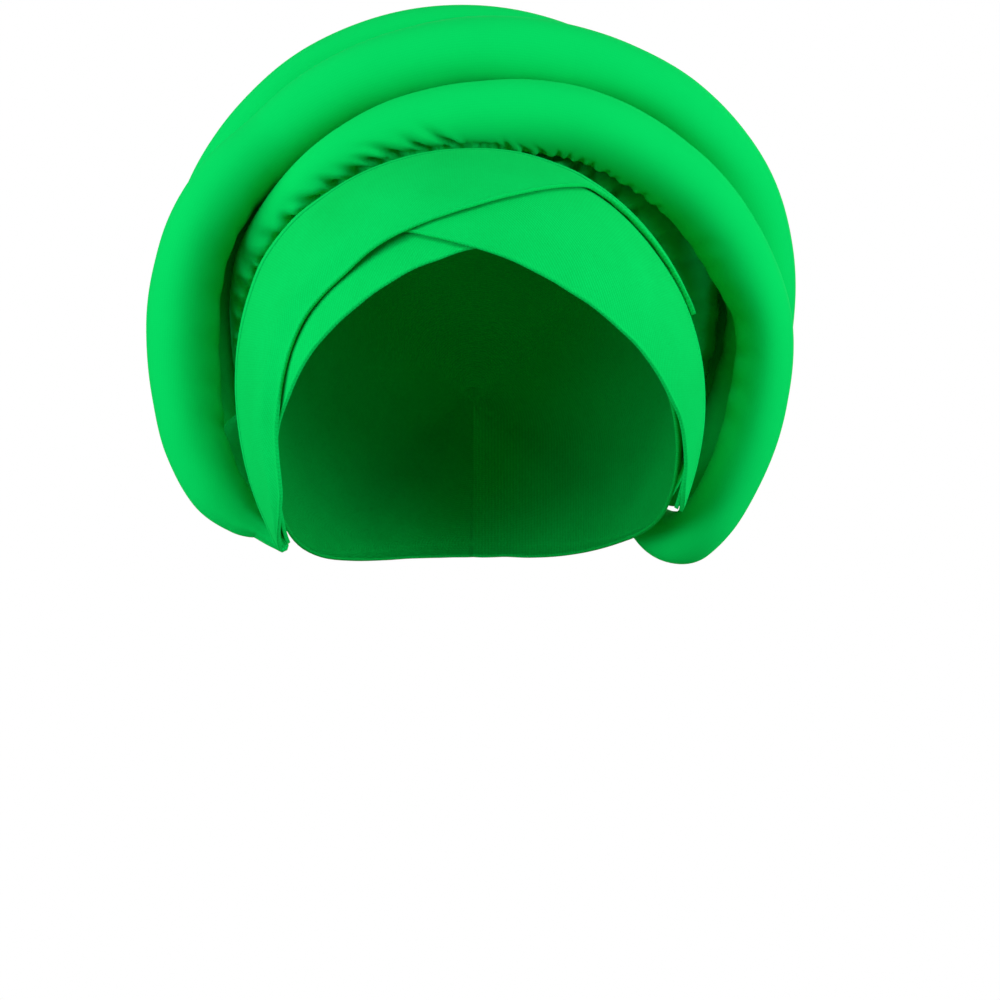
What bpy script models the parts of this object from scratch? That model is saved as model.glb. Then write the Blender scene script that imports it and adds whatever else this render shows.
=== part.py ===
"""A padded twisted turban, ready tied, in the form it has on the head.

Three flat bands cross over the forehead. Behind them a gathered bag covers the crown, and three
padded rolls are wound round it, one behind the other. A thin fitted cap lines the whole.

The frame: the origin is where the crown of the head touches the cap, +Z is up, -Y is where the
wearer looks, and +X is the wearer's left. Sizes are in millimetres until a mesh is made.
"""

import math

import bmesh
import bpy
import numpy as np
from mathutils import Vector

MM = 0.001

# The head that the turban is worn on.
HEAD_HALF_BREADTH = 76.0
HEAD_FRONT = 96.0
HEAD_BACK = 98.0
HEAD_HEIGHT = 80.0
SIDE_TAPER = 0.235
NAPE_TAPER = 0.30
TAPER_DROP = 60.0

# Cloth and the clearance between pieces that lie on each other.
CLOTH = 1.3
GAP = 0.7
LAYER = CLOTH + GAP

# The rolls are wound round this point, seen from the front.
RING_CENTRE_Z = -55.0

# A turn is an angle seen from the front: 0 is the wearer's left, 90 is up, 180 is the wearer's
# right. Forward is an angle from the plane of the ears towards the face, about the head's centre.
UNDER_BAND = {
    "turn": (219, 213, 207, 201, 195, 189, 182, 175, 167, 156, 140, 122, 107, 90, 70, 48, 30, 12,
             -4, -16, -25, -29),
    "front": (8.5, 21, 26.5, 31, 34.5, 38.3, 43.5, 47.3, 50.9, 55.3, 59.2, 60.9, 61, 59.1, 56, 53,
              49, 41, 30, 19, 11, 5.5),
    "rear": (6, 6, 6, 6, 6, 6, 6, 6, 6, 6, 6, 6, 6, 6, 6, 6, 6, 6, 6, 5, 4.5, 4),
    "lift": (2, 2, 2, 2, 2, 2, 2, 2, 2, 2, 2, 2, 2, 2, 2, 2, 2.1, 2.9, 3.5, 3.6, 3.6, 3.6),
}
CROSS_BAND = {
    "turn": (-29, -25, -19, -14, -8, -1, 8, 16, 23, 33, 48, 63, 78, 90, 103, 113, 125, 140, 160,
             180, 196, 207, 213, 219),
    "front": (6, 17.6, 23.6, 28.3, 33.3, 40.1, 46.4, 50.8, 54.2, 57.4, 60.6, 61.6, 60.9, 59.3,
              55.5, 50.4, 45, 42, 39, 35, 31, 25, 18, 7.5),
    "rear": (4, 4.5, 5, 6, 6, 6, 6, 6, 6, 6, 6, 6, 6, 6, 6, 6, 6, 6, 6, 6, 6, 6, 6, 6),
    "lift": (5.6, 5.6, 5.6, 5.6, 5.6, 5.4, 5.1, 4.8, 4.5, 4.2, 4, 4, 4, 4, 4, 4, 4, 4, 4, 4, 4,
             4, 4, 4),
}
OVER_BAND = {
    "turn": (219, 213, 207, 199, 191, 184, 175, 166, 156, 146, 136, 126, 113, 102, 91, 79, 70,
             64, 60, 54, 44, 32, 20),
    "front": (10, 27, 33.8, 37, 39, 41.2, 43.1, 44.6, 46.2, 48.6, 50.6, 51.4, 51.7, 50.9, 48.5,
              42.6, 34, 24, 14, 11.5, 11, 10, 7.6),
    "rear": (6, 6, 6, 6, 6, 6, 6, 6, 6, 6, 6, 6, 6, 6, 6, 6, 6, 6, 6, 6, 6, 6, 6),
    "lift": (6, 6, 6, 6, 6, 6, 6, 6, 6, 6, 6, 6, 6, 6, 6, 6, 6, 6, 6, 6, 6.1, 6.3, 6.7),
    "settle": (0, 1.2, 2, 2, 2, 2, 2, 2, 2, 2, 1.7, 0.5, 0, 0, 0, 0, 0, 0, 0, 0, 0, 0, 0),
    "flare": (0, 0, 0, 0, 0, 0.2, 0.8, 1.8, 3, 4.2, 3.9, 2.4, 1.2, 0.4, 0, 0.5, 0.6, 0.9, 0.9, 0.8,
              0.5, 0.2, 0),
}
CAP_EDGE = {
    "turn": (-90, -80, -70, -62, -54, -45, -37, -29, -10, 10, 45, 90, 135, 170, 190, 205, 212,
             219, 226, 233, 241, 249, 257, 264, 270),
    "forward": (-51, -50.2, -47.2, -43.5, -38.3, -29.5, -16, 1, 24, 39, 51, 51, 51, 40, 29,
                17, 7, -6, -20.5, -32.5, -41.2, -46.5, -49.3, -50.6, -51),
}
# A roll, one row for each section: its turn about the ring's centre, how far its middle lies from
# that centre, how far back it lies, and its half thickness across and along the ring's axis.
FRONT_ROLL = {
    "turn": (195, 189, 180, 165, 150, 135, 120, 105, 90, 75, 60, 45, 30, 15, 0, -15, -29, -38,
             -43, -46, -47.4, -48),
    "reach": (84, 83.1, 81.2, 80.4, 77.3, 74.8, 73.5, 73.2, 74.3, 77.6, 82.5, 87, 92.6, 98.6,
              104.8, 106.4, 108.2, 109.7, 109.3, 104.5, 97, 87),
    "back": (28, 30, 32, 29, 20.5, 14, 11, 10.2, 10, 10.5, 12, 14.5, 17.5, 21, 25, 29, 34, 40,
             48, 59, 69, 75),
    "across": (2.5, 4.2, 6.4, 8.8, 10.3, 11.7, 12.3, 13.1, 13.2, 13.3, 13.1, 13, 12.7, 12.1, 10.6,
               10.8, 10.2, 9.8, 9.8, 9.2, 8, 4),
    "deep": (3, 4.6, 7, 11, 13.5, 14.2, 14.6, 15, 15, 15, 15, 15, 14.6, 14, 14, 14, 13.6, 12, 11,
             10, 8.6, 4),
}
OUTER_ROLL = {
    "turn": (230, 227.5, 224, 219, 212, 203, 193, 180, 165, 150, 135, 120, 105, 90, 75, 60, 45,
             30, 15, 0, -15, -28, -37, -41),
    "reach": (103.6, 103.4, 103.4, 106, 108.2, 107.3, 104.9, 103.6, 103.4, 101.4, 96.8, 96.4, 96.8,
              98.3, 100.4, 103.8, 107.3, 108.8, 107.4, 104.5, 101, 98, 95, 91.4),
    "back": (9.5, 9, 9, 9.5, 11, 13, 14, 14.5, 16.4, 22.8, 29.6, 28.2, 27.2, 27.2, 29.6, 33.3, 37, 43, 50,
             55.6, 58, 58, 58, 61),
    "across": (1.8, 3.2, 5, 8, 10.4, 11.6, 12.7, 13.2, 12.8, 12.9, 13.4, 14, 14.2, 14.2, 14.2,
               14.2, 14.2, 14, 13.4, 12.6, 12, 10.5, 8, 4),
    "deep": (2, 3.5, 5.5, 8, 11, 13.5, 15, 15.6, 15.8, 15.4, 14.6, 15, 15.6, 15.8, 15.8, 15.8, 15.8, 15.4,
             15, 15, 14, 12, 8, 3.5),
}
BACK_ROLL = {
    "turn": (207, 196, 180, 165, 150, 135, 120, 105, 90, 75, 60, 45, 30, 15, 0, -15, -26),
    "reach": (92, 95.5, 98.5, 100.8, 103.2, 105.4, 106.6, 106.4, 105.6, 104.6, 103.4, 102.3,
              100.9, 99.5, 97, 94, 88.5),
    "back": (46, 44, 45, 48, 53.6, 58.2, 57.6, 57.6, 58.2, 61, 65, 67.2, 71.8, 78, 83, 83, 79),
    "across": (5, 10, 13.5, 14.6, 14.6, 14.2, 14, 14, 14, 13.8, 13.6, 13.2, 12.6, 12, 11, 8, 3.5),
    "deep": (5, 10, 13.4, 14.4, 14.6, 14.6, 14.6, 14.6, 14.6, 14.6, 14.6, 14, 13.6, 13, 12, 9,
             3.5),
}
ROLL_SIDES = 12

# The bag's hem lies on the cap, this far back at each turn about the ring's centre. From there
# it fills the rings of the rolls and closes in a dome.
BAG_HEM = {
    "turn": (-90, -76, -62, -50, -38, -26, -14, 90, 194, 206, 218, 230, 242, 256, 270),
    "back": (80, 76, 62, 42, 18, 2, -3, -3, -3, 2, 14, 36, 60, 76, 80),
}
# How far it lies close on the cap behind its hem, before it rises to the rolls.
BAG_HUG = {
    "turn": (-90, -52, -46, -38, -26, -14, 0, 10, 30, 50, 70, 85, 105, 140, 165, 180, 190, 200,
             210, 218, 226, 235, 270),
    "hug": (0, 0, 10, 24, 33, 32, 30, 26, 22, 18, 11, 4, 1, 3, 6, 12, 19, 20, 17, 13, 6, 0, 0),
}
# How far it swells past the rolls' inner faces between them.
BAG_BULGE = {
    "turn": (-90, -40, -20, 0, 90, 165, 180, 192, 200, 208, 216, 224, 235, 270),
    "swell": (0, 0, 1.5, 1, 0.5, 0.5, 4, 7, 12, 20, 17, 6, 0, 0),
}
BAG_DEPTH = 114.0
BAG_PAD = 4.3
BAG_CLEARANCE = 1.7
DOME_RINGS = 5
NAPE_HALF_TURN = 24.0
NAPE_BLEND = 32.0
ROLL_END_TURN = 5.0
PLEATS = 36
PLEAT_DEPTH = 2.2

GREEN = (0.0, 0.58, 0.09, 1.0)
DEEP_GREEN = (0.0, 0.40, 0.06, 1.0)
CLOTH_ROUGHNESS = 0.85


def smooth(table, key, value, column):
    """Reads a column of a table at a value of its key, on a curve with no overshoot."""
    keys = np.array(table[key], float)
    data = np.array(table[column], float)
    if keys[0] > keys[-1]:
        keys, data = keys[::-1], data[::-1]
    step = np.diff(keys)
    slope = np.diff(data) / step
    tangent = np.zeros(len(keys))
    tangent[0], tangent[-1] = slope[0], slope[-1]
    for i in range(1, len(keys) - 1):
        if slope[i - 1] * slope[i] > 0:
            before = 2 * step[i] + step[i - 1]
            after = step[i] + 2 * step[i - 1]
            tangent[i] = (before + after) / (before / slope[i - 1] + after / slope[i])
    value = min(max(value, keys[0]), keys[-1])
    i = min(max(int(np.searchsorted(keys, value)) - 1, 0), len(step) - 1)
    t = (value - keys[i]) / step[i]
    return float(
        (1 + 2 * t) * (1 - t) ** 2 * data[i]
        + t * (1 - t) ** 2 * step[i] * tangent[i]
        + t * t * (3 - 2 * t) * data[i + 1]
        - t * t * (1 - t) * step[i] * tangent[i + 1]
    )


def ease(t):
    t = min(max(t, 0.0), 1.0)
    return t * t * (3 - 2 * t)


def direction(turn, forward):
    """A unit vector from the head's centre."""
    a, b = math.radians(turn), math.radians(forward)
    return np.array((math.cos(a) * math.cos(b), -math.sin(b), math.sin(a) * math.cos(b)))


def head_share(point, pad):
    """Below 1 inside the head form that is padded by pad, and above 1 outside it."""
    x, y, z = point
    length = HEAD_BACK if y > 0 else HEAD_FRONT
    breadth = HEAD_HALF_BREADTH
    if z < 0:
        drop = (z / TAPER_DROP) ** 2
        breadth *= 1 - SIDE_TAPER * drop
        length *= 1 - (NAPE_TAPER if y > 0 else 0.0) * drop
    share = (x / (breadth + pad)) ** 2 + (y / (length + pad)) ** 2
    return share + (z / (HEAD_HEIGHT + pad)) ** 2 if z > 0 else share


def head_distance(ray, pad):
    """How far the padded head form's surface lies from the head's centre along a ray."""
    near, far = 20.0, 240.0
    if ray[2] < 0:
        far = min(far, 0.98 * TAPER_DROP / math.sqrt(max(SIDE_TAPER, NAPE_TAPER)) / -ray[2])
    for _ in range(40):
        middle = (near + far) / 2
        if head_share(ray * middle, pad) < 1:
            near = middle
        else:
            far = middle
    return near


def on_head(turn, forward, pad):
    ray = direction(turn, forward)
    return ray * head_distance(ray, pad) + np.array((0.0, 0.0, -HEAD_HEIGHT))


def make_object(name, points, faces, colour):
    """A solid with its faces turned outwards, in metres."""
    shell = bmesh.new()
    corners = [shell.verts.new(Vector(p) * MM) for p in points]
    for face in faces:
        shell.faces.new([corners[i] for i in face])
    bmesh.ops.recalc_face_normals(shell, faces=shell.faces)
    mesh = bpy.data.meshes.new(name)
    shell.to_mesh(mesh)
    shell.free()
    mesh.shade_smooth()
    mesh.set_sharp_from_angle(angle=math.radians(50))
    material = bpy.data.materials.new(name + "_cloth")
    material.use_nodes = True
    shader = material.node_tree.nodes["Principled BSDF"]
    shader.inputs["Base Color"].default_value = colour
    shader.inputs["Roughness"].default_value = CLOTH_ROUGHNESS
    shader.inputs["Metallic"].default_value = 0.0
    mesh.materials.append(material)
    item = bpy.data.objects.new(name, mesh)
    bpy.context.scene.collection.objects.link(item)
    return item


def grid_faces(rows, columns, start, closed):
    """Quads of a grid of points, numbered row by row from start. A closed grid joins its ends."""
    last = rows if closed else rows - 1
    return [
        (
            start + i * columns + j,
            start + (i + 1) % rows * columns + j,
            start + (i + 1) % rows * columns + j + 1,
            start + i * columns + j + 1,
        )
        for i in range(last)
        for j in range(columns - 1)
    ]


def make_band(name, table, stations, colour):
    """A strip of folded cloth that lies on the head form, from ear to ear."""
    first, last = table["turn"][0], table["turn"][-1]
    across = 5
    skins = []
    for thickness in (CLOTH, 0.0):
        for i in range(stations + 1):
            turn = first + (last - first) * i / stations
            front = smooth(table, "turn", turn, "front")
            rear = smooth(table, "turn", turn, "rear")
            pad = smooth(table, "turn", turn, "lift") + thickness
            # the front edge comes down onto the band below where no third band is between them
            settle = smooth(table, "turn", turn, "settle") if "settle" in table else 0.0
            # and the rear edge stands off the head, over the roll behind it
            flare = smooth(table, "turn", turn, "flare") if "flare" in table else 0.0
            skins += [on_head(turn, front + (rear - front) * j / across,
                              pad - settle * (j == 0) + flare * (j / across) ** 2)
                      for j in range(across + 1)]
    rows, columns = stations + 1, across + 1
    under = rows * columns
    faces = grid_faces(rows, columns, 0, False) + grid_faces(rows, columns, under, False)
    rim = [i * columns for i in range(rows)]
    rim += [(rows - 1) * columns + j for j in range(1, columns)]
    rim += [i * columns + across for i in range(rows - 2, -1, -1)]
    rim += list(range(across - 1, 0, -1))
    for a, b in zip(rim, rim[1:] + rim[:1]):
        faces.append((a, b, b + under, a + under))
    return make_object(name, skins, faces, colour)


def make_bowl(name, outer, inner, colour):
    """A cloth bowl: rings of points from its open edge to a last ring that is a single point."""
    rings, around = len(outer) - 1, len(outer[0])
    points, faces = [], []
    for skin in (outer, inner):
        start = len(points)
        for ring in skin[:-1]:
            points += list(ring)
        points.append(skin[-1][0])
        for i in range(rings - 1):
            for j in range(around):
                k = (j + 1) % around
                faces.append((start + i * around + j, start + i * around + k,
                              start + (i + 1) * around + k, start + (i + 1) * around + j))
        tip = len(points) - 1
        faces += [(start + (rings - 1) * around + j,
                   start + (rings - 1) * around + (j + 1) % around, tip) for j in range(around)]
    second = rings * around + 1
    faces += [(j, (j + 1) % around, second + (j + 1) % around, second + j)
              for j in range(around)]
    return make_object(name, points, faces, colour)


def make_cap():
    """The fitted cap: its inner face is the head's hollow."""
    around, rings = 38, 8
    skins = []
    for pad in (CLOTH, 0.0):
        skin = []
        for i in range(rings + 1):
            ring = []
            for j in range(around):
                turn = -90 + 360 * j / around
                edge = smooth(CAP_EDGE, "turn", turn, "forward")
                ring.append(on_head(turn, edge + (-90 - edge) * i / rings, pad))
            skin.append(ring)
        skins.append(skin)
    return make_bowl("fitted_cap", skins[0], skins[1], DEEP_GREEN)


def roll_path(table, share):
    """The middle, outward direction and two half thicknesses of a roll at a share of its length."""
    rows = len(table["turn"])
    station = share * (rows - 1)
    indexed = dict(table, row=tuple(range(rows)))
    turn = math.radians(smooth(indexed, "row", station, "turn"))
    reach = smooth(indexed, "row", station, "reach")
    outward = np.array((math.cos(turn), 0.0, math.sin(turn)))
    back = smooth(indexed, "row", station, "back")
    middle = outward * reach + np.array((0.0, back, RING_CENTRE_Z))
    across = smooth(indexed, "row", station, "across")
    deep = smooth(indexed, "row", station, "deep")
    return middle, outward, across, deep


def make_roll(name, table, sections):
    """A stuffed tube wound round the crown. Its ends are drawn in to a point."""
    shares = [i / sections for i in range(sections + 1)]
    places = [roll_path(table, share) for share in shares]
    middles = np.array([place[0] for place in places])
    ahead = np.gradient(middles, axis=0)
    points, faces = [], []
    for i, (middle, outward, across, deep) in enumerate(places):
        along = ahead[i] / np.linalg.norm(ahead[i])
        out = outward - along * (outward @ along)
        out /= np.linalg.norm(out)
        rearward = np.cross(along, out)
        if rearward[1] < 0:
            rearward = -rearward
        for j in range(ROLL_SIDES):
            a = 2 * math.pi * j / ROLL_SIDES
            points.append(middle + out * math.cos(a) * across + rearward * math.sin(a) * deep)
    for i in range(sections):
        for j in range(ROLL_SIDES):
            k = (j + 1) % ROLL_SIDES
            faces.append((i * ROLL_SIDES + j, i * ROLL_SIDES + k,
                          (i + 1) * ROLL_SIDES + k, (i + 1) * ROLL_SIDES + j))
    for end, inward in ((0, 1), (sections, -1)):
        middle, _, across, _ = places[end]
        step = middles[end] - middles[end + inward]
        points.append(middle + step / np.linalg.norm(step) * across * 0.6)
        tip = len(points) - 1
        faces += [(end * ROLL_SIDES + j, end * ROLL_SIDES + (j + 1) % ROLL_SIDES, tip)
                  for j in range(ROLL_SIDES)]
    return make_object(name, points, faces, GREEN)


def ring_point(turn, reach, back):
    a = math.radians(turn)
    return np.array((reach * math.cos(a), back, RING_CENTRE_Z + reach * math.sin(a)))


def head_reach(turn, back, pad):
    """How far the padded head form's surface lies from the rings' axis."""
    near, far = 0.0, 150.0
    for _ in range(40):
        middle = (near + far) / 2
        point = ring_point(turn, middle, back) + np.array((0.0, 0.0, HEAD_HEIGHT))
        if head_share(point, pad) < 1:
            near = middle
        else:
            far = middle
    return near


def bag_profile(turn):
    """The bag from its hem to the dome, as reach and back, where rolls are wound round it."""
    hem = smooth(BAG_HEM, "turn", turn, "back")
    start = head_reach(turn, hem, BAG_PAD)
    hug = smooth(BAG_HUG, "turn", turn, "hug")
    foot = hem + hug
    rolls = []
    for table in (FRONT_ROLL, OUTER_ROLL, BACK_ROLL):
        rolls.append([smooth(table, "turn", turn, column)
                      for column in ("reach", "back", "across", "deep")])
    front, outer, rear = rolls
    last = rear[1] + rear[3]
    inner_rear = rear[0] - rear[2] - BAG_CLEARANCE
    behind_front = front[1] + front[3] + BAG_CLEARANCE
    backs = [
        foot + (front[1] - 0.5 * front[3] - foot) * max(0.0, 1 - hug / 3),
        front[1],
        front[1] + 0.6 * front[3],
        front[1] + 0.94 * front[3],
        max(outer[1], behind_front + 1.5),
        0.5 * (max(outer[1], behind_front + 1.5) + rear[1]),
        rear[1],
        rear[1] + 0.55 * rear[3],
        last,
    ]
    for i in range(1, len(backs) - 1):
        backs[i] = max(backs[i], backs[i - 1] + 0.8)
    near = [roll for roll, table in zip(rolls, (FRONT_ROLL, OUTER_ROLL, BACK_ROLL))
            if min(table["turn"]) - ROLL_END_TURN < turn < max(table["turn"]) + ROLL_END_TURN]
    spans = sorted([(hem, start), (foot + 0.01, head_reach(turn, foot, BAG_PAD))]
                   + [(roll[1], roll[0] - roll[2] - BAG_CLEARANCE) for roll in near
                      if roll[1] > foot] + [(last, inner_rear)])
    swell = smooth(BAG_BULGE, "turn", turn, "swell")
    profile = [(start, hem)]
    for i, back in enumerate(backs):
        reach = float(np.interp(back, [row[0] for row in spans], [row[1] for row in spans]))
        reach += swell * (0.0, 0.7, 1.0)[min(i, 2)]
        for middle, centre, across, deep in near:
            off = (back - centre) / (deep + BAG_CLEARANCE)
            if abs(off) < 1:
                inside = middle - (across + BAG_CLEARANCE) * math.sqrt(1 - off * off)
                reach = min(reach, inside)
        profile.append((max(reach, head_reach(turn, back, BAG_PAD)), back))
    reach, back = profile[-1]
    for i in range(1, DOME_RINGS + 1):
        a = math.pi / 2 * i / DOME_RINGS
        profile.append((reach * math.cos(a), back + (BAG_DEPTH - back) * math.sin(a)))
    return profile


def nape_profile(turn, rings):
    """The bag from its hem to the dome at the nape, below the rolls."""
    hem = smooth(BAG_HEM, "turn", turn, "back")
    start = head_reach(turn, hem, BAG_PAD)
    profile = []
    for i in range(rings + 1):
        a = math.pi / 2 * i / rings
        back = hem + (BAG_DEPTH - hem) * math.sin(a)
        profile.append((max(start * math.cos(a), head_reach(turn, back, BAG_PAD)), back))
    return profile


def make_bag():
    """The gathered bag, which is pleated where it leaves its hem."""
    around = PLEATS * 2
    columns = []
    for j in range(around):
        turn = -90 + 360 * j / around
        wound = bag_profile(turn)
        below = nape_profile(turn, len(wound) - 1)
        away = 180 - abs((turn + 90) % 360 - 180)
        share = ease((away - NAPE_HALF_TURN) / NAPE_BLEND)
        column = []
        for i, (high, low) in enumerate(zip(wound, below)):
            reach = low[0] + (high[0] - low[0]) * share
            back = low[1] + (high[1] - low[1]) * share
            if j % 2 and i in (1, 2, 3):
                fold = PLEAT_DEPTH * (0.8, 1.0, 0.5)[i - 1] * (0.3 + 0.7 * share)
                reach = max(reach - fold, head_reach(turn, back, BAG_PAD))
            column.append(ring_point(turn, reach, back))
        columns.append(column)
    outer = [[column[i] for column in columns] for i in range(len(columns[0]))]
    centre = np.array((0.0, 0.0, -HEAD_HEIGHT))
    inner = [[point - (point - centre) / np.linalg.norm(point - centre) * CLOTH
              for point in ring] for ring in outer]
    return make_bowl("gathered_bag", outer, inner, GREEN)


def build():
    for item in list(bpy.data.objects):
        bpy.data.objects.remove(item, do_unlink=True)
    make_cap()
    make_band("under_band", UNDER_BAND, 34, GREEN)
    make_band("cross_band", CROSS_BAND, 34, GREEN)
    make_band("over_band", OVER_BAND, 40, GREEN)
    make_roll("front_roll", FRONT_ROLL, 60)
    make_roll("outer_roll", OUTER_ROLL, 54)
    make_roll("back_roll", BACK_ROLL, 42)
    make_bag()


build()
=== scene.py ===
import math

import bmesh
import bpy
import numpy as np
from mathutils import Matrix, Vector


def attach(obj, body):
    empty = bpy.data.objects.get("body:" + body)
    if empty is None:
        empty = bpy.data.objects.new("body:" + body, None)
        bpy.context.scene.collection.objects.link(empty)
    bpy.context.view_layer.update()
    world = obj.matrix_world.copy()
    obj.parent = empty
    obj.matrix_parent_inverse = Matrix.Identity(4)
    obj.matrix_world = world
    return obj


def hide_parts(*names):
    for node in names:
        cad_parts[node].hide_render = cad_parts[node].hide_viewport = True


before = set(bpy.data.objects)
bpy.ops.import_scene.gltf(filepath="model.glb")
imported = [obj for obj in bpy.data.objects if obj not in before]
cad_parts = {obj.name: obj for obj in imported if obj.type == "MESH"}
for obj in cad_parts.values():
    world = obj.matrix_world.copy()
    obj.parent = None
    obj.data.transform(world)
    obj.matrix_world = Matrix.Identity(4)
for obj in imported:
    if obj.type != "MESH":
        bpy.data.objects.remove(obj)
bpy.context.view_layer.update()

# Sizes are in millimetres until a mesh is made. The origin is the inner crown of the cap,
# -Y is where the wearer looks and +X is the wearer's left.
millimetre = 0.001
clothThickness = 1.3

# Tables are read as smooth curves.


def readCurve(table, key, column, at):  # a monotone cubic, so it never overshoots its table
    keys, data = np.array(table[key], float), np.array(table[column], float)
    if keys[0] > keys[-1]:
        keys, data = keys[::-1], data[::-1]
    step = np.diff(keys)
    slope = np.diff(data) / step
    tangent = np.zeros(len(keys))
    tangent[0], tangent[-1] = slope[0], slope[-1]
    for i in range(1, len(keys) - 1):
        if slope[i - 1] * slope[i] > 0:
            before, after = 2 * step[i] + step[i - 1], step[i] + 2 * step[i - 1]
            tangent[i] = (before + after) / (before / slope[i - 1] + after / slope[i])
    at = np.clip(np.asarray(at, float), keys[0], keys[-1])
    i = np.clip(np.searchsorted(keys, at) - 1, 0, len(step) - 1)
    t = (at - keys[i]) / step[i]
    return (
        (1 + 2 * t) * (1 - t) ** 2 * data[i] + t * (1 - t) ** 2 * step[i] * tangent[i]
        + t * t * (3 - 2 * t) * data[i + 1] - t * t * (1 - t) * step[i] * tangent[i + 1]
    )


def ease(t):
    t = np.clip(t, 0.0, 1.0)
    return t * t * (3 - 2 * t)


def bump(at, middle, width):  # a soft hill, 1 high, about twice width broad
    return np.exp(-(((at - middle) / width) ** 2))


def softNoise(seed, waves, *axes):  # slow, seeded undulation from -1 to 1 along some axes
    draw = np.random.default_rng(seed)
    total = 0.0
    for _ in range(waves):
        inside = draw.uniform(0, 2 * math.pi)
        for axis, pitch in axes:
            turns = axis * 2 * math.pi / pitch
            inside = inside + turns * draw.uniform(0.5, 1.3) * draw.choice((-1, 1))
        total = total + np.sin(inside)
    return total / waves


# The head that wears it.

head = {
    "halfBreadth": 76.0,
    "front": 96.0,
    "back": 98.0,
    "height": 80.0,  # from the head's centre up to the crown
    "sideTaper": 0.235,  # how much the sides and the nape narrow below the widest place
    "napeTaper": 0.30,
    "taperDrop": 60.0,
    "nearest": 20.0,  # from its centre, where the search for its skin starts and ends
    "farthest": 240.0,
    "halvings": 36,
}
ringCentreZ = -55.0  # the rolls are wound round this height, seen from the front
ringFarthest = 150.0


def headShare(x, y, z, pad):  # below 1 inside the padded head, above 1 outside it
    drop = np.where(z < 0, (z / head["taperDrop"]) ** 2, 0.0)
    breadth = head["halfBreadth"] * (1 - head["sideTaper"] * drop) + pad
    taper = np.where(y > 0, head["napeTaper"], 0.0)
    length = np.where(y > 0, head["back"], head["front"]) * (1 - taper * drop) + pad
    above = np.where(z > 0, (z / (head["height"] + pad)) ** 2, 0)
    return (x / breadth) ** 2 + (y / length) ** 2 + above


def onHead(turn, forward, pad):  # points on the padded head, by two angles about its centre
    turn, forward, pad = np.broadcast_arrays(
        np.asarray(turn, float), np.asarray(forward, float), np.asarray(pad, float))
    a, b = np.radians(turn), np.radians(forward)
    x, y, z = np.cos(a) * np.cos(b), -np.sin(b), np.sin(a) * np.cos(b)
    near = np.full(x.shape, head["nearest"])
    lowest = 0.98 * head["taperDrop"] / math.sqrt(head["napeTaper"])
    far = np.where(z < 0, lowest / np.maximum(-z, 1e-6), head["farthest"])
    far = np.minimum(far, head["farthest"])
    for _ in range(head["halvings"]):
        middle = (near + far) / 2
        inside = headShare(x * middle, y * middle, z * middle, pad) < 1
        near, far = np.where(inside, middle, near), np.where(inside, far, middle)
    return np.stack([x * near, y * near, z * near - head["height"]], -1)


def headReach(turn, back, pad):  # how far the padded head lies from the rolls' axis
    turn, back = np.broadcast_arrays(np.asarray(turn, float), np.asarray(back, float))
    a = np.radians(turn)
    near, far = np.zeros(turn.shape), np.full(turn.shape, ringFarthest)
    for _ in range(head["halvings"]):
        middle = (near + far) / 2
        z = ringCentreZ + middle * np.sin(a) + head["height"]
        inside = headShare(middle * np.cos(a), back, z, pad) < 1
        near, far = np.where(inside, middle, near), np.where(inside, far, middle)
    return near

# Mesh helpers.


def makePiece(name, points, faces, weave, node):
    # points in mm; weave is each point's place along and across the cloth, in mm
    mesh = bpy.data.meshes.new(name)
    mesh.from_pydata((points * millimetre).tolist(), [], faces)
    layer = mesh.uv_layers.new(name="weave")
    corner = np.empty(len(mesh.loops), int)
    mesh.loops.foreach_get("vertex_index", corner)
    layer.uv.foreach_set("vector", weave[corner].astype(np.float32).ravel())
    shell = bmesh.new()
    shell.from_mesh(mesh)
    bmesh.ops.recalc_face_normals(shell, faces=shell.faces)
    shell.to_mesh(mesh)
    shell.free()
    mesh.shade_smooth()
    piece = bpy.data.objects.new(name, mesh)
    bpy.context.scene.collection.objects.link(piece)
    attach(piece, "root")
    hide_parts(node)
    return piece


def gridFaces(rows, columns, closedRows=False, closedColumns=False, start=0):
    lastRow = rows if closedRows else rows - 1
    lastColumn = columns if closedColumns else columns - 1
    i, j = np.meshgrid(np.arange(lastRow), np.arange(lastColumn), indexing="ij")
    ii, jj = (i + 1) % rows, (j + 1) % columns
    quads = np.stack([i * columns + j, ii * columns + j, ii * columns + jj, i * columns + jj], -1)
    return (quads.reshape(-1, 4) + start).tolist()


def arcLengths(points, axis):  # running length along an axis of a grid of points
    step = np.linalg.norm(np.diff(points, axis=axis), axis=-1)
    first = np.zeros_like(np.take(step, [0], axis=axis))
    return np.concatenate([first, np.cumsum(step, axis=axis)], axis=axis)


def closeEnds(points, weave, faces, around, ends):  # a fan of faces on each end of a tube
    for row, tip in ends:
        points = np.vstack([points, tip])
        weave = np.vstack([weave, weave[row * around]])
        k = len(points) - 1
        faces += [(row * around + j, row * around + (j + 1) % around, k) for j in range(around)]
    return points, weave, faces


# Materials.


def linearColour(hexColour):  # sRGB hex to linear, with alpha
    parts = [int(hexColour[i:i + 2], 16) / 255 for i in (1, 3, 5)]
    linear = [c / 12.92 if c <= 0.04045 else ((c + 0.055) / 1.055) ** 2.4 for c in parts]
    return (*linear, 1.0)


def addNode(tree, kind, links=(), **settings):  # settings by name; links and numbers by socket
    node = tree.nodes.new(kind)
    for key, value in settings.items():
        setattr(node, key, value)
    for socket, source in dict(links).items():
        if isinstance(source, bpy.types.NodeSocket):
            tree.links.new(source, node.inputs[socket])
        else:
            node.inputs[socket].default_value = source
    return node


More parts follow.
